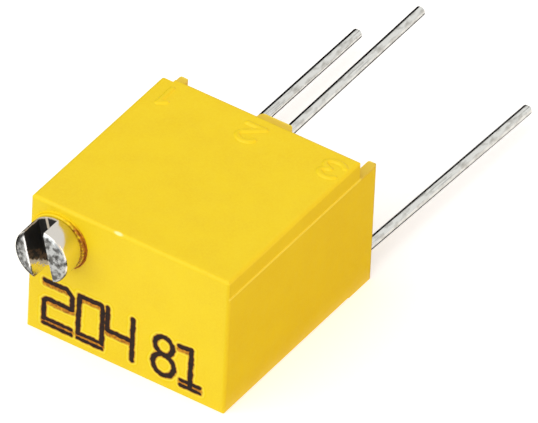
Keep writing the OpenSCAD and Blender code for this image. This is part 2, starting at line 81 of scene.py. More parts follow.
def towards(azimuth, elevation):
    """Direction from the object; azimuth runs from the front to the right, elevation upwards."""
    return Vector((sin(azimuth) * cos(elevation), -cos(azimuth) * cos(elevation), sin(elevation)))


def facing_in(away, distance):
    """Place of a camera or light that looks back along away, from that distance."""
    return Matrix.Translation(away * distance) @ away.to_track_quat("Z", "Y").to_matrix().to_4x4()


def make_camera():
    """A long lens that looks at AIM_MM from the front right and above, rolled a little."""
    data = bpy.data.cameras.new("camera")
    data.lens = LENS_MM
    data.sensor_width = SENSOR_MM
    data.clip_start, data.clip_end = NEAREST, FURTHEST
    camera = bpy.data.objects.new("camera", data)
    place = facing_in(towards(VIEW_AZIMUTH, VIEW_ELEVATION), VIEW_DISTANCE_MM * MM)
    roll = Matrix.Rotation(VIEW_ROLL, 4, "Z")
    camera.matrix_world = Matrix.Translation(Vector(AIM_MM) * MM) @ place @ roll
    bpy.context.scene.collection.objects.link(camera)
    bpy.context.scene.camera = camera


make_camera()

# ---- shapes ----


def stroke_distance(across, up, strokes):
    """Distance of each point to the nearest stroke, a row of points joined by straight lines: the
    point's foot on each line is held between the line's two ends."""
    nearest = np.full(across.shape, np.inf)
    for stroke in strokes:
        for (x0, y0), (x1, y1) in zip(stroke[:-1], stroke[1:]):
            run_x, run_y = x1 - x0, y1 - y0
            share = ((across - x0) * run_x + (up - y0) * run_y) / (run_x ** 2 + run_y ** 2)
            share = np.clip(share, 0, 1)
            gap = np.hypot(across - x0 - share * run_x, up - y0 - share * run_y)
            nearest = np.minimum(nearest, gap)
    return nearest


def fade(value, full, none):
    """1 up to full, 0 past none, with a smooth fall between: 3 t squared less 2 t cubed."""
    t = np.clip((none - value) / (none - full), 0, 1)
    return t * t * (3 - 2 * t)


def arc(middle_x, middle_y, radius_x, radius_y, start, end):
    """15 points on an ellipse from the angle start to the angle end, in degrees: the cosine gives x
    and the sine gives y."""
    turn = np.radians(np.linspace(start, end, 15))
    return list(zip(middle_x + radius_x * np.cos(turn), middle_y + radius_y * np.sin(turn)))


def smooth_object(name, mesh, sharp_over):
    """Object of a mesh, smooth but for edges over the angle sharp_over, in degrees."""
    mesh.polygons.foreach_set("use_smooth", np.ones(len(mesh.polygons), dtype=bool))
    mesh.set_sharp_from_angle(angle=radians(sharp_over))
    piece = bpy.data.objects.new(name, mesh)
    bpy.context.scene.collection.objects.link(piece)
    return piece


def mark_mesh(mesh, mark, values, where_held):
    """Names a value of each of the mesh's points or faces."""
    layer = mesh.attributes.new(mark, "FLOAT", where_held)
    layer.data.foreach_set("value", np.asarray(values, dtype=np.float32).ravel())


def mesh_piece(name, points, faces, marks):
    """Object of the given points and quads, with marks, the named values of its points."""
    mesh = bpy.data.meshes.new(name)
    mesh.from_pydata(points.tolist(), [], faces.tolist())
    for mark, values in marks.items():
        mark_mesh(mesh, mark, values, "POINT")
    mesh.update()
    return smooth_object(name, mesh, 50)


def closed_sheet(name, outer, inner, marks):
    """Solid between two grids of points of the same size, whose rims are joined by quads. The outer
    grid's first axis cross its second axis points outwards. marks name values of its points."""
    rows, columns = outer.shape[:2]
    index = np.arange(rows * columns).reshape(rows, columns)
    quads = np.stack([index[:-1, :-1], index[1:, :-1], index[1:, 1:], index[:-1, 1:]], -1)
    quads = quads.reshape(-1, 4)
    rim = np.concatenate([index[:-1, 0], index[-1, :-1], index[:0:-1, -1], index[0, :0:-1]])
    after = np.roll(rim, -1)
    under = rows * columns
    walls = np.stack([rim, rim + under, after + under, after], -1)
    faces = np.concatenate([quads, quads[:, ::-1] + under, walls])
    points = np.concatenate([outer.reshape(-1, 3), inner.reshape(-1, 3)]) * MM
    return mesh_piece(name, points, faces, marks)


# from a relief's lowest point to its back
BACKING = 0.01


def relief(name, corner, size, step, across, up, strokes, shape):
    """Slab that stands out of a flat wall along its strokes. Its grid starts at corner and runs
    along the wall's directions across and up; shape turns each point's distance from the strokes,
    in millimetres, into its height over the wall and its marks. Elsewhere it hides in the wall."""
    u, v = np.meshgrid(*(np.arange(0, side + step / 2, step) for side in size), indexing="ij")
    out = np.cross(across, up)
    height, marks = shape(u, v, stroke_distance(u, v, strokes))
    flat = np.array(corner) + u[..., None] * across + v[..., None] * up
    outer = flat + height[..., None] * out
    inner = flat + (height.min() - BACKING) * out
    marks = {mark: np.concatenate([values.ravel()] * 2) for mark, values in marks.items()}
    return closed_sheet(name, outer, np.broadcast_to(inner, outer.shape), marks)


TO_RIGHT, TO_BACK, UPWARDS = np.eye(3)

# numbers moulded beside the pins, in cap heights, from their lower left corner
RAISED = {
    "1": [[(0.18, 0.80), (0.45, 1.0), (0.45, 0.0)]],
    "2": [arc(0.42, 0.72, 0.38, 0.28, 170, -30) + [(0.02, 0.0), (0.84, 0.0)]],
    "3": [arc(0.40, 0.76, 0.36, 0.24, 160, -80) + arc(0.40, 0.26, 0.42, 0.26, 80, -160)],
}
# their width, in cap heights
RAISED_W = 0.86
# cap height, half the flat top's width, height over the top plate, and the bank's width
RAISED_CAP, RAISED_HALF, RAISED_H, RAISED_SOFT = 0.68, 0.03, 0.045, 0.08
# room round the strokes, the grid's step, and how far the rest hides under the top plate
RAISED_MARGIN, RAISED_STEP, RAISED_HIDDEN = 0.12, 0.0125, 0.006
# each number's middle, across and back
PIN_NUMBERS = {"1": (-2.52, 2.30), "2": (0.07, 2.31), "3": (2.57, 2.34)}


def raised_shape(across, up, distance):
    """A rounded bank: full height on the stroke, falling away over RAISED_SOFT."""
    bank = fade(distance, RAISED_HALF, RAISED_HALF + RAISED_SOFT)
    return RAISED_H * bank - RAISED_HIDDEN, {}


def pin_number(digit):
    """The digit lies beside its lead, turned half round in its cell, so that it reads from the
    leads."""
    middle_x, middle_y = PIN_NUMBERS[digit]
    strokes = [[((RAISED_W - x) * RAISED_CAP + RAISED_MARGIN, (1 - y) * RAISED_CAP + RAISED_MARGIN)
                for x, y in stroke] for stroke in RAISED[digit]]
    width, height = RAISED_W * RAISED_CAP + 2 * RAISED_MARGIN, RAISED_CAP + 2 * RAISED_MARGIN
    corner = (middle_x - width / 2, middle_y - height / 2, TOP_Z)
    return relief("pin_number_" + digit, corner, (width, height), RAISED_STEP,
                  TO_RIGHT, TO_BACK, strokes, raised_shape)


# numbers burnt into the front: each one's strokes, and the double strokes at its foot, in its cell
BURNT = {
    "2": ([[(0, 1), (0.78, 1), (1, 0.88), (1, 0.56), (0.1, 0.56), (0, 0.48), (0, 0.05)]],
          [[(0, 0.0), (1, 0.0)]]),
    "0": ([[(0.06, 1), (0.94, 1), (1, 0.9), (1, 0.06)], [(0.03, 1), (0, 0.06)]],
          [[(0, 0.0), (1, 0.0)]]),
    "4": ([[(0, 1), (0, 0.46), (1, 0.46)], [(1, 1), (1, 0)]], []),
    "8": ([arc(0.5, 0.26, 0.5, 0.28, 0, 360), arc(0.5, 0.78, 0.42, 0.24, 0, 360)], []),
    "1": ([[(0.0, 0.97), (0.52, 1.0), (0.52, 0.0)]], [[(0.1, 0.0), (0.95, 0.0)]]),
}
# each row's lower left corner, its height, and its digits with their left edges and widths
BURNT_ROWS = {
    "marking_1": ((-2.53, 0.42), 1.33, [("2", 0.0, 0.86), ("0", 1.06, 0.74), ("4", 1.95, 0.78)]),
    "marking_2": ((0.84, 0.42), 1.20, [("8", 0.0, 0.66), ("1", 0.80, 0.70)]),
}
# room round the strokes, the grid's step, and how far it stands proud and hides under the wall
BURNT_MARGIN, BURNT_STEP, BURNT_PROUD, BURNT_HIDDEN = 0.22, 0.014, 0.004, 0.003
# distances from a stroke's middle at which each mark is full and none, and at which the skin falls
BURN, SCORCH, PALE, SKIN = (0.062, 0.094), (0.05775, 0.135), (0.13, 0.18), (0.18, 0.21)
# how far the scorched rim lies under a level stroke, how far apart a foot's two strokes lie, and
# how much nearer their rims are
SCORCH_UNDER, FOOT_GAP, FOOT_THINNER = 0.095, 0.17, 0.016
# a level stroke rises less and runs further than this, in cells
LEVEL_RISE, LEVEL_RUN = 0.1, 0.3
# the rims' two unevennesses: how deep, what size and which draw
RAGGED = ((0.010, 0.24, 5), (0.006, 0.11, 6))


def wobble(across, up, size, seed):
    """Smooth unevenness between -1 and 1: a few sine waves of the given size with random
    directions."""
    draw = np.random.default_rng(seed)
    total = np.zeros(across.shape)
    for turn, phase in zip(draw.uniform(0, 2 * pi, 7), draw.uniform(0, 2 * pi, 7)):
        wave = size * draw.uniform(0.7, 1.6)
        total += np.sin((across * np.cos(turn) + up * np.sin(turn)) * 2 * pi / wave + phase)
    return total / 3.5


def burnt_number(name):
    """One row of digits with dark strokes, a scorched rim under each level stroke and a doubled
    foot."""
    (left, foot), cell_h, digits = BURNT_ROWS[name]
    dark, scorched, feet = [], [], []

    def placed(stroke, lift=0.0):
        """A stroke's points on the grid of the row, in millimetres, lifted a little."""
        return [(start + x * cell_w + BURNT_MARGIN, y * cell_h + BURNT_MARGIN + lift)
                for x, y in stroke]

    for digit, start, cell_w in digits:
        strokes, doubled = BURNT[digit]
        dark += [placed(stroke) for stroke in strokes]
        lines = [line for stroke in strokes for line in zip(stroke[:-1], stroke[1:])]
        scorched += [placed((a, b), -SCORCH_UNDER) for a, b in lines
                     if abs(a[1] - b[1]) < LEVEL_RISE and abs(a[0] - b[0]) > LEVEL_RUN]
        scorched += [placed(stroke) for stroke in doubled]
        feet += [placed(stroke, lift) for stroke in doubled
                 for lift in (-FOOT_GAP / 2, FOOT_GAP / 2)]

    def burnt_shape(across, up, distance):
        """Dark over the strokes, scorched round them and pale round that, with ragged rims."""
        ragged = sum(depth * wobble(across, up, size, seed) for depth, size, seed in RAGGED)
        thin = stroke_distance(across, up, feet) + FOOT_THINNER
        core = np.minimum(distance, thin) + ragged
        rim = np.minimum(core, stroke_distance(across, up, scorched) + ragged)
        marks = {"burn_and_shade": fade(core, *BURN), "scorch_and_shade": fade(rim, *SCORCH), "pale": fade(rim, *PALE)}
        return (BURNT_PROUD + BURNT_HIDDEN) * fade(rim, *SKIN) - BURNT_HIDDEN, marks

    width = digits[-1][1] + digits[-1][2] + 2 * BURNT_MARGIN
    corner = (left - BURNT_MARGIN, FRONT_Y, foot - BURNT_MARGIN)
    return relief(name, corner, (width, cell_h + 2 * BURNT_MARGIN), BURNT_STEP,
                  TO_RIGHT, UPWARDS, dark, burnt_shape)


# the bead's width and height, and its points round its profile and along it
SHADE_BEAD_W, SHADE_BEAD_H, SHADE_BEAD_ROUND, SHADE_BEAD_ALONG = 0.055, 0.03, 12, 240
# the turn about the screw, from its right upwards, at which the bead's painted shade is darkest
SHADE_BEAD_TURN = radians(-8)


def collar_shade_bead():
    """Bead in the corner between the collar and the front face, coloured as painted shade: a flat
    oval profile, carried round the collar, whose size goes up and down by the product of two sine
    waves along it. Its marks, the painted shade, are strongest on the lower right and fade out
    above."""
    turn = np.linspace(0, 2 * pi, SHADE_BEAD_ALONG, endpoint=False)
    bend = np.linspace(0, 2 * pi, SHADE_BEAD_ROUND, endpoint=False)
    turn_grid, bend_grid = np.meshgrid(turn, bend, indexing="ij")
    uneven = 1 + 0.25 * np.sin(9 * turn_grid + 1) * np.sin(23 * turn_grid)
    radius = COLLAR_R + SHADE_BEAD_W / 2 * (0.6 + np.cos(bend_grid) * uneven)
    points = np.stack([SCREW_X + radius * np.cos(turn_grid),
                       FRONT_Y - SHADE_BEAD_H * np.sin(bend_grid) * uneven,
                       SCREW_Z + radius * np.sin(turn_grid)], -1)
    near = np.arange(SHADE_BEAD_ALONG * SHADE_BEAD_ROUND).reshape(SHADE_BEAD_ALONG, SHADE_BEAD_ROUND)
    far = np.roll(near, -1, 0)
    faces = np.stack([near, far, np.roll(far, -1, 1), np.roll(near, -1, 1)], -1).reshape(-1, 4)
    away = np.abs((turn_grid - SHADE_BEAD_TURN + pi) % (2 * pi) - pi)
    # painted shade: darkest on the lower right, where the screw's head shades the corner, and gone
    # above
    marks = {"burn_and_shade": 0.55 * fade(away, radians(25), radians(52)),
             "scorch_and_shade": fade(away, radians(40), radians(75)), "pale": 0 * away}
    return mesh_piece("collar_shade_bead", points.reshape(-1, 3) * MM, faces, marks)


EDGE_BREAK = 0.014


def finished_screw():
    """Merged copy of the screw whose head has its facets joined and its edges broken. Faces within
    the slot are marked."""
    shape = bmesh.new()
    shape.from_mesh(nodes["adjusting_screw"].data)
    bmesh.ops.remove_doubles(shape, verts=shape.verts[:], dist=1e-7)
    head_back = (FACE_Y + HEAD_L + 0.001) * MM

    def head_edges():
        """The edges whose two ends are both in the head."""
        return [edge for edge in shape.edges if all(vert.co.y < head_back for vert in edge.verts)]

    bmesh.ops.dissolve_limit(shape, angle_limit=radians(0.3), edges=head_edges(), verts=[])
    sharp = [edge for edge in head_edges()
             if edge.is_manifold and edge.calc_face_angle() > radians(30)]
    bmesh.ops.bevel(shape, geom=sharp, offset=EDGE_BREAK * MM, offset_type="OFFSET", segments=2,
                    profile=0.5, affect="EDGES", clamp_overlap=True)
    bmesh.ops.recalc_face_normals(shape, faces=shape.faces[:])
    mesh = bpy.data.meshes.new("screw_finish")
    shape.to_mesh(mesh)
    shape.free()
    middles = np.zeros(len(mesh.polygons) * 3)
    mesh.polygons.foreach_get("center", middles)
    x, y, z = middles.reshape(-1, 3).T / MM
    side = (x - SCREW_X) * cos(SLOT_TILT) + (z - SCREW_Z) * sin(SLOT_TILT) + SLOT_OFF
    inside = np.abs(side) < SLOT_W / 2 + 0.004
    inside &= (y > FACE_Y + 0.02) & (y < FACE_Y + SLOT_L + 0.01)
    mark_mesh(mesh, "in_slot", inside, "FACE")
    return smooth_object("screw_finish", mesh, 28)


# ---- materials ----


def colour(code):
    """An sRGB hex code as a linear RGBA tuple."""
    parts = [int(code[i:i + 2], 16) / 255 for i in (1, 3, 5)]
    return (*[c / 12.92 if c <= 0.04045 else ((c + 0.055) / 1.055) ** 2.4 for c in parts], 1)


def feed(tree, node, inputs):
    """Fills a node's inputs, given in their order or by name. Each is a plain value, the socket
    that it comes from, or the node, which stands for its first live output."""
    for name, value in inputs.items() if isinstance(inputs, dict) else enumerate(inputs):
        if isinstance(value, bpy.types.Node):
            value = next(output for output in value.outputs if output.enabled)
        if isinstance(value, bpy.types.NodeSocket):
            tree.links.new(value, node.inputs[name])
        else:
            node.inputs[name].default_value = value


def add(tree, kind, inputs=(), **settings):
    """Adds one node of the given kind with its settings, and fills its inputs."""
    made = tree.nodes.new("ShaderNode" + kind)
    for name, value in settings.items():
        setattr(made, name, value)
    feed(tree, made, inputs)
    return made


def blank(name, roughness, metallic=0.0, ior=1.5):
    """Material with its constant values set; gives it back with its node tree and its shader. A
    metal keeps the IOR that its shader starts with."""
    material = bpy.data.materials.new(name)
    material.use_nodes = True
    shader = material.node_tree.nodes["Principled BSDF"]
    shader.inputs["Roughness"].default_value = roughness
    shader.inputs["Metallic"].default_value = metallic
    if not metallic:
        shader.inputs["IOR"].default_value = ior
    return material, material.node_tree, shader


def lumps(tree, size_mm, detail=3.0, stretch=(1, 1, 1), at=None):
    """Cloudy pattern between 0 and 1 with lumps of size_mm, drawn out along an axis by stretch."""
    place = at or add(tree, "TexCoord").outputs["Object"]
    scale = [1 / (size_mm * MM * s) for s in stretch]
    spread = add(tree, "VectorMath", [place, scale], operation="MULTIPLY")
    return add(tree, "TexNoise", {"Vector": spread, "Scale": 1.0, "Detail": detail})


def patches(tree, size_mm, low, high, to=(0.0, 1.0), **pattern):
    """Lumps whose range low to high is drawn out to the range to, and held at both of its ends."""
    return add(tree, "MapRange", [lumps(tree, size_mm, **pattern), low, high, *to])


def where(tree, *ramps, most=1.0):
    """Mask that is most where all its ramps are full: most times each of them. A ramp is a value
    with the values at which it is none and full, or a mask made before."""
    mask = most
    for ramp in ramps:
        if isinstance(ramp, tuple):
            ramp = add(tree, "MapRange", ramp)
        mask = add(tree, "Math", [mask, ramp], operation="MULTIPLY")
    return mask


def apart(tree, value, middle):
    """How far a value is from the middle, to either side."""
    gap = add(tree, "Math", [value, middle], operation="SUBTRACT")
    return add(tree, "Math", [gap], operation="ABSOLUTE")


def layered(tree, base, *layers):
    """Base colour with each layer's colour laid over it in turn, as far as its mask says."""
    base, *shades = [colour(shade) if isinstance(shade, str) else shade
                     for shade in (base, *(shade for _, shade in layers))]
    for (mask, _), shade in zip(layers, shades):
        base = add(tree, "Mix", {"Factor": mask, "A": base, "B": shade}, data_type="RGBA")
    return base


def bumpy(tree, shader, depth_mm, size_mm, **pattern):
    """Lets lumps of size_mm shade the surface as if they were depth_mm deep."""
    height = lumps(tree, size_mm, **pattern)
    bump = add(tree, "Bump", {"Height": height, "Distance": depth_mm * MM, "Strength": 1.0})
    feed(tree, shader, {"Normal": bump})


def round_the_screw(tree, start_y):
    """The place in millimetres, then the same from the point at start_y on the screw's axis, its
    three parts, the distance from the axis, and the turn about it, from its right upwards."""
    place = add(tree, "TexCoord").outputs["Object"]
    place = add(tree, "VectorMath", [place, (1 / MM,) * 3], operation="MULTIPLY")
    local = add(tree, "VectorMath", [place, (SCREW_X, start_y, SCREW_Z)], operation="SUBTRACT")
    parts = add(tree, "SeparateXYZ", [local]).outputs
    level = add(tree, "VectorMath", [local, (1, 0, 1)], operation="MULTIPLY")
    from_axis = add(tree, "VectorMath", [level], operation="LENGTH")
    turn = add(tree, "Math", [parts["Z"], parts["X"]], operation="ARCTAN2")
    return place, local, parts, from_axis, turn


# the yellow's colours: the pale line colour is a painted highlight, the two collar colours, the
# corner colour and the ledge colour are painted shade, and the nick's colour is its own
YELLOW, YELLOW_DEEP, YELLOW_PALE, SEAM_HIGHLIGHT = "#F3D305", "#EDC902", "#F7DC1E", "#FFE850"
COLLAR_SHADE_PALE, COLLAR_SHADE_DARK, CORNER_SHADE = "#C0701C", "#7E2E08", "#7A4A0C"
LEDGE_SHADE, NICKED = "#CF9C04", "#FFF4A0"


def plastic_colour(tree):
    """Yellow with slow clouds from the flow of the melt and a finer, fainter speckle."""
    melt = patches(tree, 0.9, 0.35, 0.65, to=(0.0, 0.5))
    speckle = patches(tree, 0.05, 0.3, 0.7, to=(0.0, 0.5), detail=2.0)
    return layered(tree, YELLOW, (melt, YELLOW_DEEP), (speckle, YELLOW_PALE))


# the step under the top plate, and the line of painted highlight along its lower edge
PARTING_Z = TOP_Z - 0.55
LINE_Z = PARTING_Z - 0.015
# where the painted shade round the collar is strongest, and where the painted shade at the right
# foot's corner begins
COLLAR_SHADE_TURN = radians(4)
CORNER_X = 2.90
NICK, NICK_SIZE = (-0.38, FRONT_Y + 0.03, TOP_Z - 0.03), (0.16, 0.06, 0.06)


def worn_and_shaded_plastic_colour(tree):
    """The plastic with a painted highlight line along the mould's parting line, brown painted shade
    on the right of the collar that fades out round it, painted shade at the right foot's corner and
    on the ledges above the feet, and a pale nick in the top's front edge."""
    place, _, local, from_axis, turn = round_the_screw(tree, FRONT_Y)
    x, y, z = add(tree, "SeparateXYZ", [place]).outputs
    # painted highlight: a paler line just under the step of the parting line, on the side walls
    line = where(tree, (apart(tree, z, LINE_Z), 0.045, 0.02), (y, FRONT_Y + 0.02, FRONT_Y + 0.05))

    fringe = patches(tree, 0.12, 0.3, 0.7, to=(-0.04, 0.04), detail=2.0)
    ragged = add(tree, "Math", [local["Y"], fringe], operation="ADD")
    waver = patches(tree, 0.18, 0.3, 0.7, to=(-0.2, 0.2))
    away = add(tree, "Math", [apart(tree, turn, COLLAR_SHADE_TURN), waver], operation="ADD")
    # painted shade in the crevice round the collar, strongest on its right
    painted_collar_shade = where(tree, (from_axis, COLLAR_R + 0.05, COLLAR_R + 0.015), (local["Y"], 0.05, 0.02),
                  (ragged, -0.12, -0.09), (away, radians(80), radians(45)), most=0.9)
    mottle = patches(tree, 0.10, 0.35, 0.6, detail=2.0)
    brown = layered(tree, COLLAR_SHADE_PALE, (mottle, COLLAR_SHADE_DARK))

    # painted shade on the corner at the right foot's end
    corner_shade_patches = patches(tree, 0.6, 0.3, 0.6, to=(0.3, 0.8), detail=2.0)
    corner = where(tree, (x, CORNER_X, CORNER_X + 0.10), (y, FEET_Y - 0.12, FEET_Y - 0.05), corner_shade_patches)
    # painted shade on the tops of the feet, short of their ends
    painted_ledge_shade = where(tree, (z, PARTING_Z - 0.10, PARTING_Z - 0.02), (y, FEET_Y - 0.04, FEET_Y - 0.10),
                  (y, FEET_Y - 0.80, FEET_Y - 0.75), most=0.45)

    from_nick = add(tree, "VectorMath", [place, NICK], operation="SUBTRACT")
    from_nick = add(tree, "VectorMath", [from_nick, [1 / side for side in NICK_SIZE]],
                    operation="MULTIPLY")
    from_nick = add(tree, "VectorMath", [from_nick], operation="LENGTH")
    nick = where(tree, (from_nick, 1.0, 0.5))
    return layered(tree, plastic_colour(tree), (line, SEAM_HIGHLIGHT), (painted_collar_shade, brown), (corner, CORNER_SHADE),
                   (painted_ledge_shade, LEDGE_SHADE), (nick, NICKED))


def plastic_grain(tree, shader):
    """Spark-eroded grain: real pits of about 0.02 mm, drawn 0.045 mm wide so that they show."""
    bumpy(tree, shader, 0.0022, 0.045)


def moulded_polyester():
    """Yellow glass-filled PBT, injection moulded in a spark-eroded mould: a satin skin with a fine
    grain, even in colour, that mirrors only a soft sheen."""
    material, tree, shader = blank("moulded_polyester", 0.45)
    # the grain scatters part of the mirrored light, so the skin mirrors less than a smooth one
    shader.inputs["Specular IOR Level"].default_value = 0.35
    feed(tree, shader, {"Base Color": worn_and_shaded_plastic_colour(tree),
                        "Roughness": patches(tree, 0.25, 0.3, 0.7, to=(0.40, 0.50))})
    plastic_grain(tree, shader)
    return material


BURNT_DARK, BURNT_BROWN, SCORCHED, SCORCHED_PALE = "#0C0402", "#2A1006", "#8A3A0E", "#D88C16"
FOAMED = "#FDEB50"


def burnt_plastic():
    """PBT burnt by a marking laser: carbonised dark brown strokes, dull, inside a scorched rim that
    fades into the yellow, past a pale margin where the skin foamed. Its dark and scorched colours
    also paint the shade on the bead round the collar."""
    material, tree, shader = blank("burnt_plastic", 0.7)
    # burnt skin is matt
    shader.inputs["Specular IOR Level"].default_value = 0.25
    # these marks carry the print's colours, and on the collar's bead they carry painted shade
    burn_and_shade, scorch_and_shade, pale = (add(tree, "Attribute", attribute_name=mark).outputs["Fac"]
                          for mark in ("burn_and_shade", "scorch_and_shade", "pale"))
    mottle = patches(tree, 0.08, 0.35, 0.65)
    rim = layered(tree, SCORCHED_PALE, (mottle, SCORCHED))
    core = layered(tree, BURNT_DARK, (mottle, BURNT_BROWN),
                   (where(tree, (burn_and_shade, 0.95, 0.6)), SCORCHED))
    skin = layered(tree, plastic_colour(tree), (where(tree, pale, most=0.6), FOAMED),
                   (where(tree, scorch_and_shade, most=0.9), rim), (burn_and_shade, core))
    feed(tree, shader, {"Base Color": skin})
    plastic_grain(tree, shader)
    return material


# the screw's colours: the whitest is a painted highlight beside the slot, the duller grey a painted
# reflection on the head's upper side, the darkest stain colour serves the face's own specks and
# also paints shade and a dark reflection; in the slot the black is partly grime and partly painted
# shade, and the cream is a painted highlight
SCREW_BRIGHT, SCREW_HIGHLIGHT, SCREW_GREY_REFLECTION = "#F2EEE6", "#FBFAF7", "#D6D1C8"
SCREW_PLAIN, SCREW_GREY, SCREW_STAIN_AND_SHADE = "#B6B9B8", "#5C5C5A", "#262422"
SLOT_BLACK_DIRT_AND_SHADE, SLOT_BROWN, SLOT_CREAM_HIGHLIGHT = "#0B0906", "#5C4630", "#D8CCB8"
# how steeply the slot's layers of grime and painted shade fall towards its bottom, and how far the
# band of painted cream highlight lies left of the slot's middle
SLOT_LAYER_FALL, CREAM_HIGHLIGHT_OFF = 0.62, 0.03


def nickel_plate():
    """Turned brass with bright nickel plate: nearly a mirror on its side, blotchy and grey on the
    turned face, partly from its plating and partly as painted reflection, with a painted highlight
    beside the slot and a painted dark reflection along its left rim. The side has a greyer painted
    reflection above and painted shade at the lower right. Black fills the upper part of the slot,
    partly grime and partly painted shade, with brown under it and cream painted highlights."""
    material, tree, shader = blank("nickel_plate", 0.2, metallic=1.0)
    _, local, parts, from_axis, turn = round_the_screw(tree, FACE_Y)
    depth = parts["Y"]
    across = add(tree, "VectorMath", [local, (cos(SLOT_TILT), 0, sin(SLOT_TILT))],
                 operation="DOT_PRODUCT")
    across = add(tree, "Math", [across, SLOT_OFF], operation="ADD")
    along = add(tree, "VectorMath", [local, (-sin(SLOT_TILT), 0, cos(SLOT_TILT))],
                operation="DOT_PRODUCT")
    uneven = patches(tree, 0.12, 0.3, 0.7, to=(-0.015, 0.015), detail=2.0)
    ragged_across, ragged_radius, ragged_depth = (
        add(tree, "Math", [value, uneven], operation="ADD") for value in (across, from_axis, depth))

    # the turned face: blotchy patches, partly painted reflection, and specks, a painted highlight
    # left of the slot and a painted dark reflection along the left rim
    # grey and blotchy, partly the plating's own and partly a painted reflection
    blotches_and_reflection = patches(tree, 0.17, 0.43, 0.60, detail=4.0)
    specks = patches(tree, 0.08, 0.60, 0.70, to=(0.0, 0.7))
    strip = apart(tree, ragged_across, -(SLOT_W / 2 + 0.025))
    # painted highlight along the edge left of the slot
    painted_highlight_strip = where(tree, (strip, 0.035, 0.02), (along, -0.45, -0.30))
    # painted dark reflection along the face's left rim
    rim = where(tree, (ragged_radius, HEAD_R - 0.13, HEAD_R - 0.08), (parts["X"], -0.10, -0.25),
                most=0.9)
    face = layered(tree, SCREW_PLAIN, (blotches_and_reflection, SCREW_GREY), (specks, SCREW_STAIN_AND_SHADE),
                   (painted_highlight_strip, SCREW_HIGHLIGHT), (rim, SCREW_STAIN_AND_SHADE))

    # the head's side: a greyer painted reflection above, and painted shade beside the face at the
    # lower right
    # painted shade on the head's side at the lower right, next to the face
    painted_lower_right_shade = where(tree, (apart(tree, turn, radians(-50)), radians(45), radians(30)),
                    (ragged_depth, 0.13, 0.10), most=0.9)
    # the greyer colour above is a painted reflection
    side = layered(tree, SCREW_BRIGHT, (where(tree, (turn, radians(25), radians(45))), SCREW_GREY_REFLECTION),
                   (painted_lower_right_shade, SCREW_STAIN_AND_SHADE))
    metal = layered(tree, side, (where(tree, (depth, 0.05, 0.03)), face))

    # colours in the slot, in layers that fall towards its bottom: black, partly grime and partly
    # painted shade, and cream painted highlights, over brown
    fall = add(tree, "Math", [depth, SLOT_LAYER_FALL], operation="MULTIPLY")
    level = add(tree, "Math", [along, fall], operation="ADD")
    level = add(tree, "Math", [level, patches(tree, 0.16, 0.3, 0.7, to=(-0.07, 0.07))],
                operation="ADD")
    # painted cream highlight in a band left of the slot's middle
    cream_highlight_streak = where(tree, (apart(tree, across, -CREAM_HIGHLIGHT_OFF), 0.05, 0.03), (along, 0.40, 0.46))
    # painted cream highlight where the slot meets the head's rim
    outer = where(tree, (ragged_radius, HEAD_R - 0.05, HEAD_R - 0.02), most=0.8)
    slot_dirt_shade_and_highlight = layered(tree, SLOT_BROWN,
                   (patches(tree, 0.11, 0.45, 0.60), SLOT_BLACK_DIRT_AND_SHADE),
                   (where(tree, (level, -0.12, -0.16)), SLOT_CREAM_HIGHLIGHT),
                   (where(tree, (level, 0.12, 0.20)), SLOT_BLACK_DIRT_AND_SHADE),
                   (outer, SLOT_CREAM_HIGHLIGHT), (cream_highlight_streak, SLOT_CREAM_HIGHLIGHT))
    slot_patches = patches(tree, 0.13, 0.60, 0.64)
    slot_patches = add(tree, "Math", [where(tree, (level, -0.26, -0.23)), slot_patches], operation="MAXIMUM")
    in_slot = add(tree, "Attribute", attribute_name="in_slot").outputs["Fac"]
    # the slot's colours, partly grime and partly painted shade and highlight, cover the metal here
    # and make it dull
    slot_cover = where(tree, slot_patches, in_slot)

    polish = patches(tree, 0.1, 0.3, 0.7, to=(0.12, 0.24))
    feed(tree, shader, {
        "Base Color": layered(tree, metal, (slot_cover, slot_dirt_shade_and_highlight)),
        "Metallic": add(tree, "Math", [1.0, slot_cover], operation="SUBTRACT"),
        "Roughness": add(tree, "Math", [polish, where(tree, slot_cover, most=0.4)], operation="ADD")})
    bumpy(tree, shader, 0.002, 0.14)
    return material


WIRE_BRIGHT, WIRE_GREY, WIRE_DARK = "#DCDCD7", "#B4B3AD", "#2E2A26"
# turns about the wire, from its right upwards, at which the two painted dark reflections run
UPPER_DARK_REFLECTION, LOWER_DARK_REFLECTION = radians(130), radians(-24)


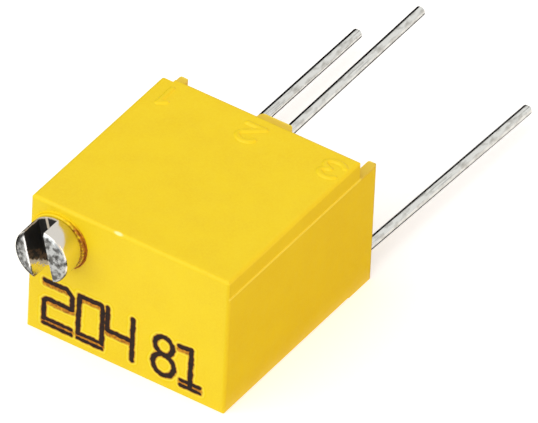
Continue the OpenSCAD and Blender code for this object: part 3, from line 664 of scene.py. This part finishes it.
def tinned_wire(name, start, lean):
    """Copper wire with hot-dipped tin: pale and bright, with dull patches, fine dark lines along it
    from drawing, and two painted dark reflections along its upper left and lower right. start is a
    point on its axis, and lean turns the pattern to it."""
    material, tree, shader = blank(name, 0.28, metallic=1.0)
    place = add(tree, "TexCoord").outputs["Object"]
    local = add(tree, "Mapping", {"Vector": place, "Location": [-v * MM for v in start]})
    local = add(tree, "VectorRotate", {"Vector": local, "Angle": radians(lean)},
                rotation_type="Z_AXIS").outputs[0]
    parts = add(tree, "SeparateXYZ", [local]).outputs
    around = add(tree, "Math", [parts["Z"], parts["X"]], operation="ARCTAN2")
    waver = patches(tree, 0.5, 0.3, 0.7, to=(-0.06, 0.06), detail=2.0, stretch=(1, 2, 1), at=local)
    turn = add(tree, "Math", [around, waver], operation="ADD")
    # painted dark reflections along the wire's upper left and lower right
    dark = add(tree, "Math", [where(tree, (apart(tree, turn, UPPER_DARK_REFLECTION), 0.62, 0.36)),
                              where(tree, (apart(tree, turn, LOWER_DARK_REFLECTION), 0.46, 0.28))],
               operation="MAXIMUM")
    dull = patches(tree, 0.13, 0.45, 0.68, detail=4.0, stretch=(1, 2.5, 1), at=local)
    lines = patches(tree, 0.05, 0.58, 0.72, to=(0.0, 0.5), detail=2.0, stretch=(1, 40, 1), at=local)
    feed(tree, shader, {
        "Base Color": layered(tree, WIRE_BRIGHT, (dull, WIRE_GREY), (lines, WIRE_DARK),
                              (where(tree, dark, most=0.75), WIRE_DARK)),
        "Roughness": add(tree, "MapRange", [dull, 0, 1, 0.16, 0.30])})
    bumpy(tree, shader, 0.004, 0.12, stretch=(1, 3, 1), at=local)
    return material


def plain_finish(name, light, dark, lump, roughness, metallic, grain, depth, ior):
    """A finish with two shades in clouds of size lump, and a grain of its own size and depth."""
    material, tree, shader = blank(name, sum(roughness) / 2, metallic, ior)
    clouds = patches(tree, lump, 0.35, 0.65, detail=4.0)
    feed(tree, shader, {"Base Color": layered(tree, light, (clouds, dark)),
                        "Roughness": add(tree, "MapRange", [clouds, 0, 1, *roughness])})
    bumpy(tree, shader, depth, grain)
    return material


# name, two shades, cloud size, roughness, metallic, grain size and depth in mm, IOR (a metal has
# none of its own), and its nodes
INNER_FINISHES = [
    # poured epoxy, cured level: smooth, a little wavy, with a slow change of shade
    ("poured_epoxy", "#C9A92E", "#B8962A", 0.8, (0.30, 0.42), 0.0, 0.35, 0.010, 1.55,
     ["sealing_resin"]),
    # 96% alumina, pressed and fired: matt, white, with a grain of a few hundredths
    ("fired_alumina", "#EFECE4", "#E4E0D6", 0.5, (0.55, 0.68), 0.0, 0.05, 0.002, 1.77,
     ["element_substrate"]),
    # printed and fired cermet: near-black glass film with fine ruthenium specks
    ("cermet_film", "#26262A", "#34343A", 0.12, (0.30, 0.45), 0.0, 0.05, 0.002, 1.6,
     ["resistor_track"]),
    # printed palladium-silver film: pale, matt, with the screen's weave
    ("silver_film", "#CFCCC4", "#BDB9AE", 0.15, (0.38, 0.52), 1.0, 0.06, 0.003, None,
     ["collector_film", "end_film_1", "end_film_3"]),
    # tin solder, frozen from the melt: bright cone with soft dull patches
    ("tin_solder", "#C9CACB", "#A9ABAD", 0.20, (0.22, 0.36), 1.0, 0.12, 0.006, None,
     ["solder_joint_1", "solder_joint_2", "solder_joint_3"]),
    # phosphor bronze strip, stamped: warm, faintly rolled
    ("bronze_strip", "#D9B27C", "#C39A63", 0.30, (0.25, 0.36), 1.0, 0.08, 0.002, None,
     ["screw_retainer"]),
    # nitrile rubber ring, moulded: black and dull
    ("nitrile_rubber", "#1C1C1E", "#26262A", 0.20, (0.60, 0.75), 0.0, 0.05, 0.003, 1.52,
     ["screw_seal_ring"]),
    # natural nylon, moulded: milky white with a waxy sheen
    ("moulded_nylon", "#F0EEE4", "#E6E3D6", 0.60, (0.35, 0.45), 0.0, 0.06, 0.002, 1.53,
     ["worm_wheel"]),
    # black PBT, moulded: satin with the same eroded grain as the case
    ("black_polyester", "#1D2024", "#272B30", 0.40, (0.40, 0.50), 0.0, 0.045, 0.002, 1.5,
     ["rotor_hub"]),
    # precious-metal spring alloy, stamped and bent: pale gold, bright
    ("wiper_alloy", "#E0C68E", "#CDB277", 0.25, (0.18, 0.28), 1.0, 0.07, 0.0015, None,
     ["wiper_spring"]),
]


def dress(obj, material):
    """Gives an object one material in place of those it has."""
    obj.data.materials.clear()
    obj.data.materials.append(material)


yellow, burnt, nickel = moulded_polyester(), burnt_plastic(), nickel_plate()
dress(nodes["housing"], yellow)
for *finish, wearers in INNER_FINISHES:
    made = plain_finish(*finish)
    for wearer in wearers:
        dress(nodes[wearer], made)
# each lead's place across and up where it leaves the back wall, and its lean in degrees
WIRES = {"lead_1": (-2.54, 0.48, 0.5), "lead_2": (0.0, 3.02, 0.0), "lead_3": (2.54, 0.48, 2.1)}
for name, (x, z, lean) in WIRES.items():
    dress(nodes[name], tinned_wire("tinned_" + name, (x, BACK_Y, z), lean))

# pieces of the case, each with its material
case_pieces = [(pin_number(digit), yellow) for digit in PIN_NUMBERS]
case_pieces += [(burnt_number(name), burnt) for name in BURNT_ROWS]
# the bead round the collar wears the burnt plastic's dark and scorched colours as painted shade
case_pieces.append((collar_shade_bead(), burnt))
for piece, material in case_pieces:
    dress(piece, material)
    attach(piece, "case")
screw = finished_screw()
dress(screw, nickel)
dress(nodes["adjusting_screw"], nickel)
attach(screw, "screw")
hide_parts("adjusting_screw")

# ---- stage ----

# half the floor's side, in metres
FLOOR_HALF = 2.0
SKY, FLOOR_SHADE, FLOOR_GLOW = 0.6, "#ECECEC", 0.42


def seen_directly(tree):
    """1 for the camera's rays and for those that metal and glass send out, else 0."""
    path = add(tree, "LightPath").outputs
    mirrored = add(tree, "Math", [path["Is Glossy Ray"], path["Is Transmission Ray"]],
                   operation="MAXIMUM")
    return add(tree, "Math", [path["Is Camera Ray"], mirrored], operation="MAXIMUM")


def flat_quad(name, corners, material):
    """A stage piece of one quad with the given corners, in metres."""
    mesh = bpy.data.meshes.new(name)
    mesh.from_pydata([tuple(c) for c in corners], [], [(0, 1, 2, 3)])
    mesh.materials.append(material)
    quad = bpy.data.objects.new(name, mesh)
    bpy.context.scene.collection.objects.link(quad)
    return quad


def make_floor():
    """White paper that also glows a little where it is seen, so that it ends up white and keeps the
    object's shadow."""
    material = bpy.data.materials.new("floor_paper")
    material.use_nodes = True
    tree = material.node_tree
    tree.nodes.clear()
    diffuse = add(tree, "BsdfDiffuse", {"Color": colour(FLOOR_SHADE)})
    glow = add(tree, "Emission", {"Strength": where(tree, seen_directly(tree), most=FLOOR_GLOW)})
    add(tree, "OutputMaterial", {"Surface": add(tree, "AddShader", [diffuse, glow])})
    s = FLOOR_HALF
    flat_quad("floor", [(-s, -s, 0), (s, -s, 0), (s, s, 0), (-s, s, 0)], material)


# corners in millimetres; the mats lie a hair over the floor, which stays pale from beside the left
# lead to past the middle one
CARDS = {
    "mat_back_left": [(-60, 3.3, 0.02), (-2.05, 3.3, 0.02), (-2.05, 80, 0.02), (-60, 80, 0.02)],
    "mat_back_right": [(0.3, 3.3, 0.02), (3.03, 3.3, 0.02), (3.03, 80, 0.02), (0.3, 80, 0.02)],
    "mat_right": [(3.2, -9, 0.02), (14, -9, 0.02), (14, 3.95, 0.02), (3.2, 3.95, 0.02)],
    "mat_left": [(-14, -4, 0.02), (-4.5, -4, 0.02), (-4.5, 3.2, 0.02), (-14, 3.2, 0.02)],
    "card_left": [(-70, -10, 0), (-70, 170, 0), (-70, 170, 70), (-70, -10, 70)],
    "card_right": [(3.12, 3.95, 0.02), (8, 3.95, 0.02), (8, 3.95, 4.6), (3.12, 3.95, 4.6)],
}


def make_cards():
    """Black cards that only shiny surfaces mirror: four mats on the floor, a tall card far out on
    the left and a low one beside the right foot. They give metal its dark lines, and cast no
    shadow."""
    black = bpy.data.materials.new("black_card")
    black.use_nodes = True
    feed(black.node_tree, black.node_tree.nodes["Principled BSDF"],
         {"Base Color": colour("#0A0A0A"), "Specular IOR Level": 0.0})
    for name, corners in CARDS.items():
        card = flat_quad(name, [[value * MM for value in corner] for corner in corners], black)
        card.visible_camera = card.visible_diffuse = card.visible_shadow = False
        card.visible_transmission = card.visible_volume_scatter = False


def make_sky():
    """Even white room: full white where it is seen or mirrored, dimmer as light."""
    world = bpy.data.worlds.new("world")
    bpy.context.scene.world = world
    world.use_nodes = True
    tree = world.node_tree
    strength = add(tree, "MapRange", [seen_directly(tree), 0, 1, SKY, 1])
    feed(tree, tree.nodes["Background"], {"Color": (1, 1, 1, 1), "Strength": strength})


def area_light(name, azimuth, elevation, distance, size, power, tint=(1, 1, 1)):
    """A square soft light aimed at the object; azimuth runs from the front to the right."""
    data = bpy.data.lights.new(name, "AREA")
    data.size = size
    data.energy = power
    data.color = tint
    light = bpy.data.objects.new(name, data)
    light.matrix_world = facing_in(towards(radians(azimuth), radians(elevation)), distance)
    bpy.context.scene.collection.objects.link(light)


make_floor()
make_cards()
make_sky()
area_light("key", -20, 43, 0.5, 0.70, 1.86)
area_light("fill", 95, 25, 0.5, 0.30, 0.7, (1.0, 0.55, 0.20))

bpy.context.scene.view_settings.view_transform = "Standard"
